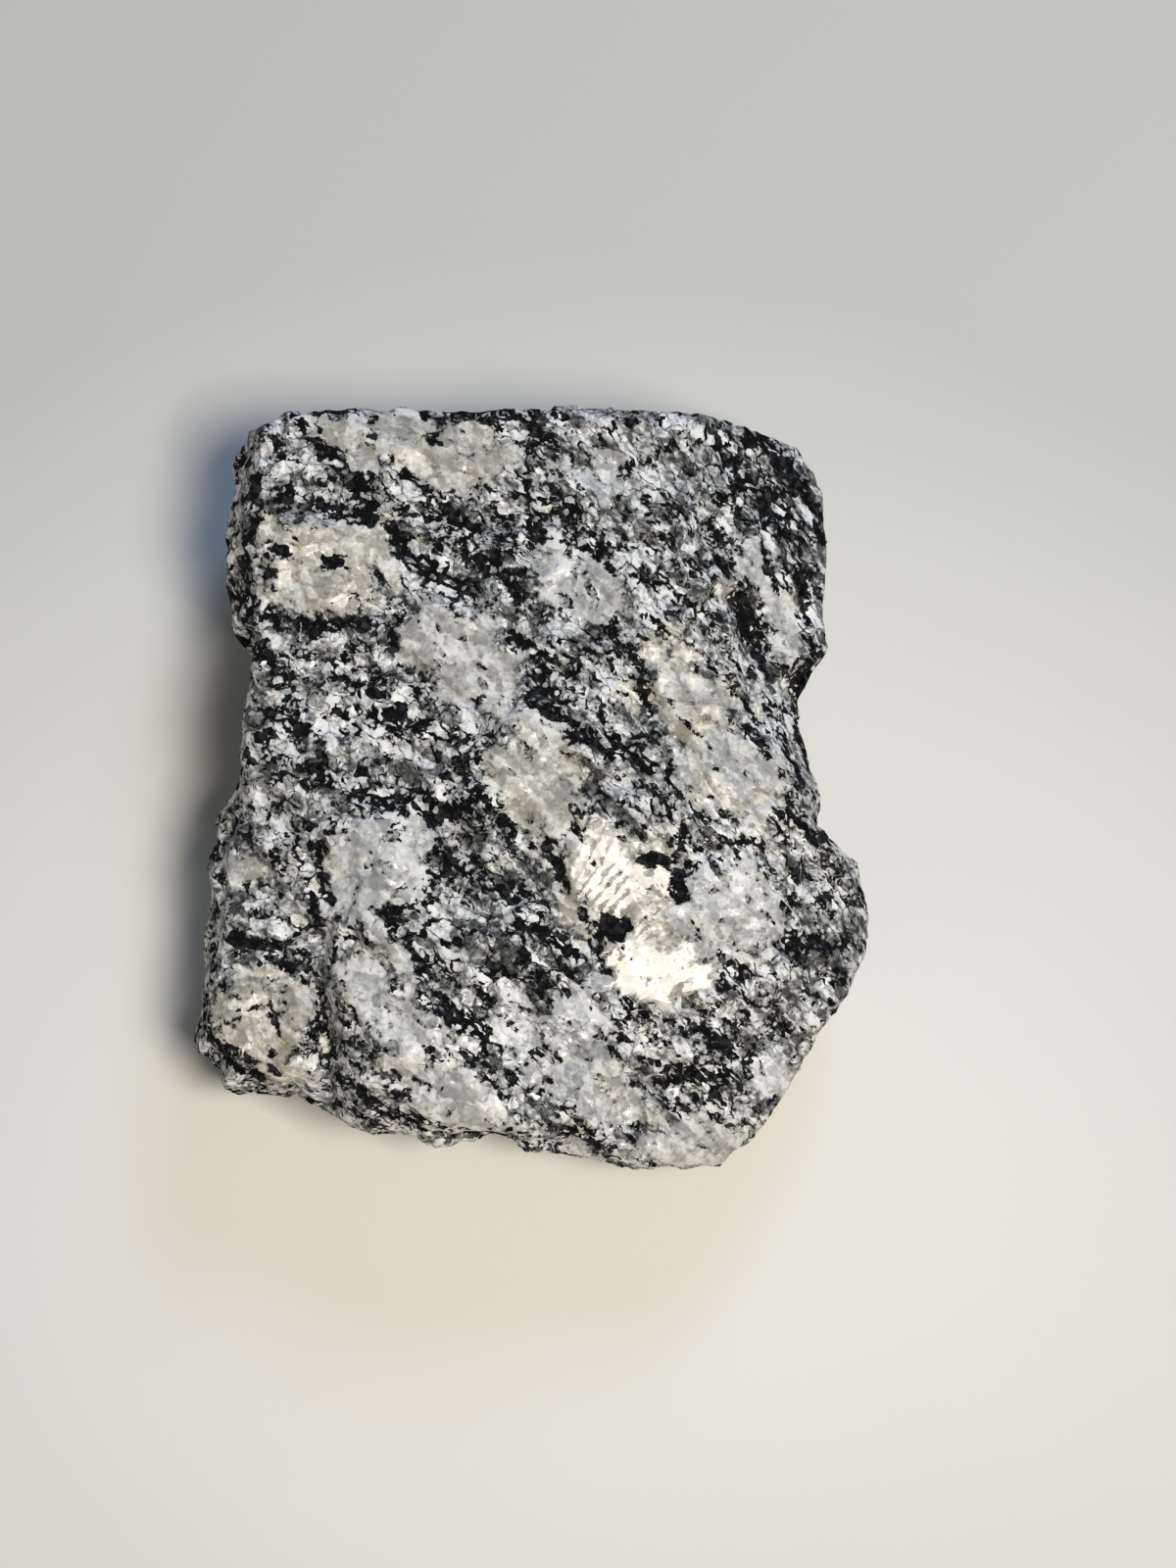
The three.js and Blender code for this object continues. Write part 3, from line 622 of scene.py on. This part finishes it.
def band_axes():
    """Three directions of the rock's banding: along the bands, across them, and up within them."""
    turn = math.radians(BAND_TURN)
    dip = math.radians(BAND_DIP)
    along = np.array([math.cos(turn), math.sin(turn), 0])
    level = np.array([-math.sin(turn), math.cos(turn), 0])
    across = math.cos(dip) * level + math.sin(dip) * np.array([0, 0, 1])
    return np.stack([along, across, np.cross(along, across)])


def patch_share(x, y, patches):
    """The largest share among patches at (x, y): full inside each, fading smoothly over its edge."""
    share = np.zeros_like(x)
    for *place, most in patches:
        share = np.maximum(share, most * (1 - smooth(crystal_radius(x, y, *place), *PATCH_FADE)))
    return share


def upper_weight(points):
    """1 on the upper side, falling smoothly to 0 a little way below it, where the sides take over."""
    return 1 - smooth(upper_height(*points.T[:2]) - points[:, 2], *SIDE_DEPTHS)


def mica_share(points):
    """Share of the grains that are mica.

    Upper side: the largest of an even share, the trails, which fall off as exp(-d² / half width²), and the
    patches. Sides: drifting bands, which are hackly facets in a space stretched along the banding.
    """
    x, y = points.T[:2]
    placed = np.full(len(points), MICA_EVERYWHERE)
    for half_width, most, *line in MICA_TRAILS:
        for start in range(0, len(line) - 2, 2):
            away = line_distance(x, y, *line[start:start + 4]) / half_width
            placed = np.maximum(placed, most * np.exp(-(away**2)))
    placed = np.maximum(placed, patch_share(x, y, MICA_PATCHES))
    stretched = points @ band_axes().T * np.array(SIDE_STRETCH)
    bands = SIDE_MICA + SIDE_SWING * np.clip(hackle(stretched, *SIDE_BANDS), *SIDE_LIMITS)
    weight = upper_weight(points)
    return placed * weight + bands * (1 - weight)


def nearest_radius(points, places):
    """How far out of the nearest of several squarish places each point is, 1 on its edge."""
    return np.min([crystal_radius(*points.T[:2], *place) for place in places], axis=0)


def feldspar_map(points):
    """Which feldspar crystal each point is nearest to the middle of, and how far out of it the point is."""
    radius = np.stack([crystal_radius(*points.T[:2], *row[PLACE_COLUMNS]) for row in FELDSPARS])
    return np.argmin(radius, axis=0), np.min(radius, axis=0)


def grain_relief(points):
    """Height of the grains: space is pulled along the banding and split between scattered centres.

    Each centre has one grain, a stepped and tipped facet, whose edge bends halfway to the next grain's.
    """
    pull = np.array([GRAIN_STRETCH, 1, 1])
    ragged = np.stack([hackle(points, *RAGGED_GRAINS, seed) for seed in RAGGED_SEEDS], axis=-1)
    pulled = (points + ragged) @ band_axes().T / pull
    near_cell, second_cell, near, second = two_nearest(pulled, GRAIN_SIZE, GRAIN_SEED)
    heights = []
    for cell in (near_cell, second_cell):
        away = pulled - cell_centre(cell, GRAIN_SIZE, GRAIN_SEED)
        heights.append(cell_height(cell, away, GRAIN_STEP, GRAIN_TIP, GRAIN_SEED))
    own = 0.5 + 0.5 * smooth(second - near, 0, GRAIN_BEVEL)
    return heights[0] * own + heights[1] * (1 - own)


def stone_surface():
    """The stone's points, squares, attributes and cleavage directions.

    The wrapped grid is moved along its normals twice: by the hackly break, and then by the fine relief,
    which is the grains and crumbs plus the saw teeth of the cleavage, less the pits of the mica.
    """
    grid, quads = stone_grid()
    points = stone_shape(grid)
    grounded = np.clip(points[:, 2] / HACKLE_FADE, 0, 1)
    wear = RIM_WEAR * rim_closeness(grid)
    relief = sum(hackle(points, *facets) for facets in HACKLES)
    points = points + grid_normals(points, quads) * (relief * grounded * (1 - wear))[:, None]

    # Crystals: which one a point is in, how deep, and whether it is in a whole block or facet
    weight = upper_weight(points)
    drift = hackle(points, *DRIFT)
    sway = np.stack([hackle(points, *SWAY, seed) for seed in SWAY_SEEDS], axis=-1)
    crystal, radius = feldspar_map(points + sway)
    table = np.array(FELDSPARS)[crystal]
    feldspar = np.clip(1 - radius, OUTSIDE, 1) * weight + OUTSIDE * (1 - weight)
    inside = smooth(feldspar + CRYSTAL_DRIFT * drift, *CRYSTAL_EDGE)
    teeth = hackle(points, *TEETH)
    block = nearest_radius(points, BRIGHT_BLOCKS) + BLOCK_RAGGED * (drift + teeth) < BLOCK_EDGE
    facet = block | (nearest_radius(points, BRIGHT_FACETS) < 1)
    feldspar = np.where(facet, np.maximum(feldspar, WHOLE_DEPTH), feldspar)

    # Cleavage: how it leans, the count of its steps, and the share of it that is clean
    lean = np.where(facet[:, None], np.array(FELDSPARS[BRIGHT_ROW][LEAN_COLUMNS]), table[:, LEAN_COLUMNS])
    lean_size = np.maximum(np.linalg.norm(lean, axis=1), LEAST_LEAN)
    offset = points[:, :2] - table[:, :2]
    steps = (np.sum(offset * lean, axis=1) / lean_size + STEP_DRIFT * drift) / table[:, STEP_COLUMN]
    fan = np.arctan2(points[:, 1] - BRIGHT_PIVOT[1], points[:, 0] - BRIGHT_PIVOT[0])
    bright = crystal == BRIGHT_ROW
    steps = np.where(bright, -fan / BRIGHT_STEP + FAN_DRIFT * drift, steps)
    steps = np.where(facet, WHOLE_TREAD, steps)
    stripes = patch_share(*points.T[:2], BRIGHT_STRIPES)
    clean = np.where(bright, np.maximum(stripes, table[:, CLEAN_COLUMN]), table[:, CLEAN_COLUMN]) * inside
    clean = np.where(facet, 1, clean)
    cleavage = np.concatenate([lean, np.ones((len(points), 1))], axis=1)
    cleavage = cleavage / np.linalg.norm(cleavage, axis=1, keepdims=True)

    # Mica: less inside the crystals, but whole in the single flakes
    spared = np.maximum(MICA_SPARED * inside, np.where(bright | facet, clean, 0))
    flakes = (FLAKE_SHARE - nearest_radius(points, MICA_SPOTS)) * weight
    mica = np.maximum(mica_share(points) * (1 - spared), np.clip(flakes, 0, FLAKE_SHARE))

    # Fine relief
    step_width = np.where(bright, BRIGHT_STEP * BRIGHT_AWAY, table[:, STEP_COLUMN])
    saw = (0.5 - (steps - np.floor(steps))) * step_width * lean_size * clean
    fine = (grain_relief(points) + hackle(points, *CRUMBS)) * (1 - CRYSTAL_CALM * inside)
    fine = fine + STEP_RISE * saw - MICA_PIT * smooth(mica, *PIT_SHARES)
    points = points + grid_normals(points, quads) * (fine * grounded * (1 - FINE_WEAR * wear))[:, None]
    points[:, 2] = np.maximum(points[:, 2], 0)

    values = {
        "mica": mica,
        "feldspar": feldspar,
        "creaminess": table[:, CREAM_COLUMN],
        "cleavage_share": clean,
        "cleavage_steps": steps,
        "quartz": patch_share(*points.T[:2], QUARTZ_PATCHES) * weight,
        "side": 1 - weight,
    }
    return points, quads, values, cleavage


def new_mesh(name, points, quads):
    """A mesh object of square faces from whole arrays, with points given in millimetres."""
    mesh = bpy.data.meshes.new(name)
    mesh.vertices.add(len(points))
    mesh.vertices.foreach_set("co", (points * MM).ravel())
    mesh.loops.add(quads.size)
    mesh.loops.foreach_set("vertex_index", quads.ravel())
    mesh.polygons.add(len(quads))
    mesh.polygons.foreach_set("loop_start", np.arange(0, quads.size, 4))
    mesh.update(calc_edges=True)
    mesh.validate()
    mesh.polygons.foreach_set("use_smooth", np.ones(len(quads), dtype=bool))
    piece = bpy.data.objects.new(name, mesh)
    bpy.context.scene.collection.objects.link(piece)
    return piece


def new_node(tree, kind, inputs=None, **settings):
    """A node with its settings, and its inputs by name or number: a value, or a socket to link from."""
    node = tree.nodes.new("ShaderNode" + kind)
    for key, value in settings.items():
        setattr(node, key, value)
    for key, value in (inputs or {}).items():
        if isinstance(value, bpy.types.NodeSocket):
            tree.links.new(value, node.inputs[key])
        else:
            node.inputs[key].default_value = value
    return node


def calc(tree, operation, first, second=0.0, third=0.0):
    """One sum of a Math node."""
    inputs = {0: first, 1: second, 2: third}
    return new_node(tree, "Math", inputs, operation=operation).outputs[0]


def rise(tree, value, low, high, start=0.0, end=1.0):
    """A smooth rise from start to end as value goes from low to high."""
    inputs = {"Value": value, "From Min": low, "From Max": high, "To Min": start, "To Max": end}
    node = new_node(tree, "MapRange", inputs, interpolation_type="SMOOTHSTEP")
    return node.outputs[0]


def blend(tree, share, first, second):
    """Two colours mixed by a share."""
    inputs = {0: share, 6: first, 7: second}
    return new_node(tree, "Mix", inputs, data_type="RGBA").outputs[2]


def mix_values(tree, share, first, second):
    """Two values mixed by a share."""
    return new_node(tree, "Mix", {0: share, 2: first, 3: second}).outputs[0]


def mix_vectors(tree, share, first, second):
    """Two directions mixed by a share."""
    return new_node(tree, "Mix", {0: share, 4: first, 5: second}, data_type="VECTOR").outputs[1]


def ramp(tree, value, stops):
    """Colours along a value: each stop is a place from 0 to 1 and a colour."""
    node = new_node(tree, "ValToRGB", {0: value})
    elements = node.color_ramp.elements
    while len(elements) < len(stops):
        elements.new(0.5)
    for element, (place, colour) in zip(elements, stops):
        element.position = place
        element.color = (*colour, 1)
    return node.outputs[0]


def attribute(tree, name, output="Fac"):
    """One of the stone's own attributes."""
    return new_node(tree, "Attribute", attribute_name=name).outputs[output]


def noise(tree, place, scale, detail, output="Fac"):
    """Cloudy noise: scale in waves per unit of place, and detail in layers of finer waves."""
    inputs = {"Vector": place, "Scale": scale, "Detail": detail, "Roughness": NOISE_ROUGHNESS}
    return new_node(tree, "TexNoise", inputs).outputs[output]


def cells(tree, place, scale):
    """Scattered cells: three fixed numbers for each, as a colour and as separate values."""
    colour = new_node(tree, "TexVoronoi", {"Vector": place, "Scale": scale}).outputs["Color"]
    return colour, new_node(tree, "SeparateColor", {0: colour}).outputs


def grain_edges(tree, place, scale):
    """How far a place is from the nearest edge between two grains, in grain sizes."""
    settings = {"feature": "DISTANCE_TO_EDGE"}
    return new_node(tree, "TexVoronoi", {"Vector": place, "Scale": scale}, **settings).outputs[0]


def off_middle(tree, value, size, start):
    """start plus size times how far value is above a half."""
    return calc(tree, "MULTIPLY_ADD", calc(tree, "SUBTRACT", value, 0.5), size, start)


def vector_calc(tree, operation, first, second):
    """One sum of a Vector Math node."""
    key = "Scale" if operation == "SCALE" else 1
    return new_node(tree, "VectorMath", {0: first, key: second}, operation=operation).outputs[0]


def granodiorite():
    """White and grey grains, cream feldspar crystals with bright cleavage, glassy quartz and black mica."""
    material = bpy.data.materials.new("granodiorite")
    material.use_nodes = True
    tree = material.node_tree
    shader = tree.nodes["Principled BSDF"]
    shader.inputs["IOR"].default_value = ROCK_IOR
    place = new_node(tree, "TexCoord").outputs["Object"]
    place = vector_calc(tree, "SCALE", place, 1 / MM)
    side = attribute(tree, "side")
    half = (0.5, 0.5, 0.5)

    # The banding bends: its lines run steeper on the right than on the left
    across = new_node(tree, "SeparateXYZ", {0: place}).outputs["X"]
    bend = calc(tree, "MULTIPLY", calc(tree, "MULTIPLY", across, across), BAND_BEND)
    bent = vector_calc(tree, "ADD", place, new_node(tree, "CombineXYZ", {"Y": bend}).outputs[0])
    wander = vector_calc(tree, "SUBTRACT", noise(tree, place, *WANDER, "Color"), half)
    wandering = vector_calc(tree, "ADD", bent, vector_calc(tree, "SCALE", wander, BAND_STRAY))
    banded = new_node(tree, "Mapping", {
        "Vector": wandering,
        "Rotation": (math.radians(BAND_DIP), 0, math.radians(BAND_TURN)),
        "Scale": BAND_PULL,
    }, vector_type="TEXTURE").outputs[0]
    ragged = noise(tree, place, *RAGGED)
    soft = noise(tree, banded, *SOFT)
    dust_height = noise(tree, place, *DUST)
    grain = cells(tree, banded, GRAINS)[1]
    flake_colour, flake = cells(tree, banded, FLAKES)
    fleck_colour, fleck = cells(tree, place, FLECKS)

    # Feldspar and mica
    share = attribute(tree, "mica")
    potential = off_middle(tree, ragged, FELDSPAR_RAGGED, attribute(tree, "feldspar"))
    potential = off_middle(tree, grain[0], FELDSPAR_GRAINY, potential)
    feldspar = rise(tree, potential, *FELDSPAR_EDGE)
    big_share = calc(tree, "MULTIPLY_ADD", share, *BIG_CLUMPS)
    big = calc(tree, "SUBTRACT", big_share, off_middle(tree, ragged, BIG_RAGGED, grain[1]))
    small_share = calc(tree, "MULTIPLY_ADD", share, *SMALL_CLUMPS)
    small = calc(tree, "SUBTRACT", small_share, off_middle(tree, ragged, SMALL_RAGGED, flake[1]))
    clumps = calc(tree, "MAXIMUM", big, small)
    edges = grain_edges(tree, banded, GRAINS)
    film_width = rise(tree, off_middle(tree, ragged, FILM_RAGGED, share), *FILM_SHARES, 0.0, FILM_WIDTH)
    films = calc(tree, "SUBTRACT", film_width, edges)
    vein = calc(tree, "ABSOLUTE", calc(tree, "SUBTRACT", noise(tree, banded, *VEINS), 0.5))
    vein_level = calc(tree, "MULTIPLY_ADD", share, VEIN_SHARE, noise(tree, place, *VEIN_PATCHES))
    veins = calc(tree, "SUBTRACT", rise(tree, vein_level, *VEIN_LEVELS, 0.0, VEIN_WIDTH), vein)
    lines = calc(tree, "MAXIMUM", films, veins)
    lines = calc(tree, "MULTIPLY", lines, calc(tree, "SUBTRACT", 1.0, feldspar))
    mica = calc(tree, "MAXIMUM", rise(tree, clumps, *CLUMP_EDGE), rise(tree, lines, *LINE_EDGE))
    speck_limit = calc(tree, "MULTIPLY_ADD", side, SPECK_FALL, SPECK_LIMIT)
    specks = calc(tree, "MULTIPLY", mica, calc(tree, "GREATER_THAN", fleck[1], speck_limit))
    mica = calc(tree, "MULTIPLY_ADD", specks, SPECK_LOSS, mica)
    whole = rise(tree, off_middle(tree, ragged, WHOLE_RAGGED, share), *WHOLE_EDGE)
    mica = calc(tree, "MAXIMUM", mica, whole)
    seam = rise(tree, edges, 0.0, SEAM_REACH, SEAM_MOST, 0.0)
    seam = calc(tree, "MULTIPLY_ADD", feldspar, SEAM_LOSS, seam)
    dimness = calc(tree, "MAXIMUM", rise(tree, clumps, DIM_REACH, 0.0, 0.0, DIM_MOST), seam)

    # Shade and colour
    shade = SHADE_START
    for value, swing in zip((soft, grain[0], flake[0], fleck[0], ragged, dust_height), SHADE_SWINGS):
        shade = off_middle(tree, value, swing, shade)
    # Pale flecks: partly white grains, partly painted sparkle in the base colour
    shade = calc(tree, "ADD", shade, rise(tree, fleck[1], *PALE_SPARKLE_FLECKS, 0.0, PALE_SPARKLE_RISE))
    shade = calc(tree, "MULTIPLY_ADD", attribute(tree, "quartz"), QUARTZ_SHADE, shade)
    contrast = calc(tree, "MULTIPLY_ADD", side, SIDE_CONTRAST, CONTRAST)
    shade = calc(tree, "SUBTRACT", shade, GREY)
    shade = calc(tree, "MULTIPLY_ADD", shade, contrast, GREY)
    glassy = calc(tree, "MULTIPLY_ADD", fleck[0], *GLASSY_SHADE)
    shade = calc(tree, "MAXIMUM", shade, off_middle(tree, ragged, GLASSY_RAGGED, glassy))
    lifted = calc(tree, "MULTIPLY_ADD", shade, *CRYSTAL_SHADE)
    white = ramp(tree, lifted, WHITE_COLOURS)
    cream = ramp(tree, lifted, CREAM_COLOURS)
    crystal = blend(tree, attribute(tree, "creaminess"), white, cream)
    pale = blend(tree, feldspar, ramp(tree, shade, GRAIN_COLOURS), crystal)
    pale = blend(tree, dimness, pale, DIM_COLOUR)
    black = blend(tree, rise(tree, fleck[0], *BLACK_FLECKS), BLACK, GREY_BLACK)
    tree.links.new(blend(tree, mica, pale, black), shader.inputs["Base Color"])

    # Gloss: clean treads of the cleavage steps, glints and mica are smoother than the rest
    steps = calc(tree, "MULTIPLY_ADD", ragged, STEP_RAGGED, attribute(tree, "cleavage_steps"))
    tread_limit = off_middle(tree, noise(tree, place, *TREAD_PATCHES), TREAD_SWING, TREAD_LIMIT)
    tread = calc(tree, "LESS_THAN", calc(tree, "FRACT", steps), tread_limit)
    tread = calc(tree, "MULTIPLY", tread, attribute(tree, "cleavage_share"))
    tread = calc(tree, "MULTIPLY", tread, calc(tree, "SUBTRACT", 1.0, mica))
    glint = calc(tree, "MULTIPLY", calc(tree, "GREATER_THAN", fleck[2], GLINT_LIMIT), GLINT_SHARE)
    clean = calc(tree, "MAXIMUM", tread, calc(tree, "MAXIMUM", glint, mica))
    rough = rise(tree, flake[2], 0.0, 1.0, *ROUGHNESS)
    rough = mix_values(tree, clean, rough, CLEAN_ROUGHNESS)
    rough = mix_values(tree, tread, rough, TREAD_ROUGHNESS)
    tree.links.new(rough, shader.inputs["Roughness"])

    # Facing: dusty grains, mica that lies nearly flat, tipped flakes and flecks, and the cleavage
    dust = new_node(tree, "Bump", {
        "Strength": DUST_STRENGTH, "Distance": DUST_DEPTH * MM, "Height": dust_height,
    }).outputs[0]
    normal = new_node(tree, "NewGeometry").outputs["Normal"]
    facing = mix_vectors(tree, clean, dust, normal)
    facing = mix_vectors(tree, calc(tree, "MULTIPLY", mica, MICA_LYING), facing, MICA_FACING)
    tip_size = calc(tree, "MULTIPLY_ADD", clean, CLEAN_TIP, TIP)
    for colour in (flake_colour, fleck_colour):
        tip = vector_calc(tree, "SCALE", vector_calc(tree, "SUBTRACT", colour, half), tip_size)
        facing = vector_calc(tree, "ADD", facing, tip)
    facing = mix_vectors(tree, tread, facing, attribute(tree, "cleavage", "Vector"))
    facing = new_node(tree, "VectorMath", {0: facing}, operation="NORMALIZE").outputs[0]
    tree.links.new(facing, shader.inputs["Normal"])
    return material


def pale_floor():
    """Matt off-white board with painted shade: darker towards the back and away from the stone, faintly
    uneven.
    """
    material = bpy.data.materials.new("pale_floor")
    material.use_nodes = True
    tree = material.node_tree
    shader = tree.nodes["Principled BSDF"]
    place = new_node(tree, "TexCoord").outputs["Object"]
    depth = new_node(tree, "SeparateXYZ", {0: place}).outputs["Y"]
    away = new_node(tree, "VectorMath", {0: place}, operation="LENGTH").outputs["Value"]
    # Painted shade: the floor darkens towards the back and away from the stone, standing in for the lamps'
    # falloff
    dimness = rise(tree, depth, *FLOOR_BACK_SHADE)
    dimness = calc(tree, "ADD", dimness, rise(tree, away, *FLOOR_AWAY_SHADE, 0.0, AWAY_SHADE_SHARE))
    dimness = off_middle(tree, noise(tree, place, *FLOOR_CLOUDS), CLOUD_SWING, dimness)
    tree.links.new(ramp(tree, dimness, FLOOR_PAINTED_SHADE_COLOURS), shader.inputs["Base Color"])
    shader.inputs["Roughness"].default_value = FLOOR_ROUGHNESS
    shader.inputs["Specular IOR Level"].default_value = FLOOR_SPECULAR
    return material


def area_light(name, place, size, power, colour):
    """A square soft light at a place in millimetres, turned to shine at the stone's middle."""
    light = bpy.data.lights.new(name, "AREA")
    light.size = size * MM
    light.energy = power
    light.color = colour
    lamp = bpy.data.objects.new(name, light)
    lamp.location = [value * MM for value in place]
    lamp.rotation_euler = aim_angles(np.array(STONE_MIDDLE) - np.array(place))
    bpy.context.scene.collection.objects.link(lamp)
    return lamp


def aim_angles(aim):
    """Turns that point a light or camera along aim, top upwards: tilt from straight down, then turn."""
    tilt = math.atan2(math.hypot(aim[0], aim[1]), -aim[2])
    turn = math.atan2(aim[1], aim[0]) - math.pi / 2
    return tilt, 0, turn


# The stone
points, quads, values, cleavage = stone_surface()
stone = new_mesh("granodiorite_stone", points, quads)
for name, numbers in values.items():
    layer = stone.data.attributes.new(name, "FLOAT", "POINT")
    layer.data.foreach_set("value", numbers.astype(np.float32))
layer = stone.data.attributes.new("cleavage", "FLOAT_VECTOR", "POINT")
layer.data.foreach_set("vector", cleavage.astype(np.float32).ravel())
stone.data.materials.append(granodiorite())
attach(stone, "root")
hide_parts("granodiorite_chip")

# The floor
FLOOR_REACH = 900.0
corners = np.array([(-1, -1, 0), (1, -1, 0), (1, 1, 0), (-1, 1, 0)]) * FLOOR_REACH
floor = new_mesh("floor", corners, np.array([(0, 1, 2, 3)]))
floor.data.materials.append(pale_floor())

# Camera: the photograph's steep view from the front
CAMERA_TARGET = np.array([3.3, 0.85, 8.0])
CAMERA_ELEVATION = 80
CAMERA_DISTANCE = 220
CAMERA_LENS = 84.15
CAMERA_SENSOR = 36
CAMERA_NEAREST = 1
elevation = math.radians(CAMERA_ELEVATION)
camera_back = np.array([0, -math.cos(elevation), math.sin(elevation)])
camera_data = bpy.data.cameras.new("camera")
camera_data.lens = CAMERA_LENS
camera_data.sensor_width = CAMERA_SENSOR
camera_data.clip_start = CAMERA_NEAREST * MM
camera = bpy.data.objects.new("camera", camera_data)
camera.location = (CAMERA_TARGET + camera_back * CAMERA_DISTANCE) * MM
camera.rotation_euler = aim_angles(-camera_back)
bpy.context.scene.collection.objects.link(camera)
bpy.context.scene.camera = camera

# Light: a broad warm one high at the front right, a weaker cool one at the back, and a dim even room
ROOM_COLOUR = (0.97, 0.99, 1.0, 1)
ROOM_STRENGTH = 0.11
area_light("warm_light", place=(129, -90, 398), size=130, power=1.46, colour=(1, 0.935, 0.82))
cool_light = area_light("cool_light", place=(111, 302, 278), size=150, power=0.58, colour=(0.335, 0.57, 1))
cool_light.visible_glossy = False
world = bpy.data.worlds.new("room")
world.use_nodes = True
background = world.node_tree.nodes["Background"]
background.inputs["Color"].default_value = ROOM_COLOUR
background.inputs["Strength"].default_value = ROOM_STRENGTH
bpy.context.scene.world = world
bpy.context.scene.view_settings.view_transform = "Standard"
